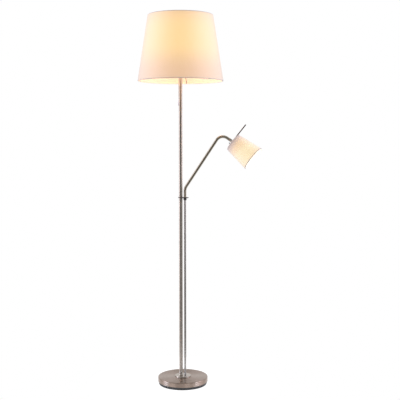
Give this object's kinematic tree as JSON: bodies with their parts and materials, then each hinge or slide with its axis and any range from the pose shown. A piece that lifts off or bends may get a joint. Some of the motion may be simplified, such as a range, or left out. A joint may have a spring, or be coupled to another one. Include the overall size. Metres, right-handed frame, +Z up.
{
  "type": "floor lamp with reading light",
  "caption": "Tall floor lamp: an open fabric shade on a tube over a round base, with a pull chain, and a small shade on a bent swivelling arm as a reading light.",
  "frame": {"origin": "centre of the round base on the floor, on the underside of the foot pad", "axes": "+Z up along the tubes, +X towards the reading lamp along its arm, +Y to the back, where the cord bushing is"},
  "size_m": [0.5407, 0.368, 1.6],
  "materials": {
    "satin_nickel": "satin brushed",
    "zinc_steel": "zinc plated",
    "black_iron": "matte paint",
    "black_foam": "matte",
    "black_plastic": "matte",
    "lead_sheath": "matte",
    "moulding": "matte",
    "brass": "plain",
    "frame_wire": "satin paint",
    "shade_fabric": "plain weave",
    "opal_glass": "opal"
  },
  "bodies": {
    "stand": {"foot_pad": "black_foam", "base_weight": "black_iron", "base_cover": "satin_nickel", "escutcheon": "satin_nickel", "base_nuts": "zinc_steel", "base_washers": "zinc_steel", "cord_bushing": "black_plastic", "splice_caps": "lead_sheath", "main_tube_studs": "zinc_steel", "main_tube_lower": "satin_nickel", "main_tube_middle": "satin_nickel", "main_tube_upper": "satin_nickel", "tube_couplers": "zinc_steel", "support_tube_lower": "satin_nickel", "support_tube_upper": "satin_nickel", "collar_plate": "satin_nickel", "collar_clamp_screw": "satin_nickel", "arm_friction_screw": "satin_nickel", "arm_bushing": "black_plastic", "main_lead": "lead_sheath", "reading_lead_lower": "lead_sheath", "holder_nut": "zinc_steel", "holder_cup": "satin_nickel", "pull_switch": "moulding", "chain_eyelet": "satin_nickel", "lampholder": "moulding", "lampholder_contacts": "brass", "shade_retaining_ring": "moulding", "shade_fitter_ring": "frame_wire", "shade_fitter_struts": "frame_wire", "main_shade": "shade_fabric", "main_shade_wires": "frame_wire", "main_bulb_glass": "opal_glass", "main_bulb_cap": "brass"},
    "arm": {"arm_tube": "satin_nickel", "arm_spigot": "zinc_steel", "arm_fork": "satin_nickel", "knuckle_screw": "satin_nickel", "knuckle_washers": "satin_nickel", "knuckle_nut": "satin_nickel", "reading_lead_arm": "lead_sheath"},
    "head": {"head_knuckle": "satin_nickel", "aim_rod": "satin_nickel", "head_cap": "satin_nickel", "head_nut": "zinc_steel", "reading_switch": "black_plastic", "reading_switch_nut": "satin_nickel", "reading_lampholder": "moulding", "reading_contacts": "brass", "reading_retaining_ring": "moulding", "reading_fitter_ring": "frame_wire", "reading_fitter_struts": "frame_wire", "reading_shade": "shade_fabric", "reading_shade_wires": "frame_wire", "reading_bulb_glass": "opal_glass", "reading_bulb_cap": "brass"},
    "pull": {"pull_chain": "satin_nickel", "pull_bob": "satin_nickel"},
    "button": {"reading_button": "satin_nickel"}
  },
  "joints": [
    {"name": "arm_swivel", "type": "hinge", "parent": "stand", "child": "arm", "pos_m": [0.011, 0, 0.82], "axis": [0, 0, 1], "range_deg": [-130, 130]},
    {"name": "head_tilt", "type": "hinge", "parent": "arm", "child": "head", "pos_m": [0.2185, 0, 1.0645], "axis": [0, 1, 0], "range_deg": [-40, 50]},
    {"name": "reading_button_push", "type": "slide", "parent": "head", "child": "button", "axis": [0.7891, 0, -0.6143], "range_m": [0, 0.0025], "stiffness_N_per_m": 400, "springref_m": -0.0008},
    {"name": "pull_chain_pull", "type": "slide", "parent": "stand", "child": "pull", "axis": [0, 0, -1], "range_m": [0, 0.01], "stiffness_N_per_m": 300, "springref_m": -0.0015}
  ]
}
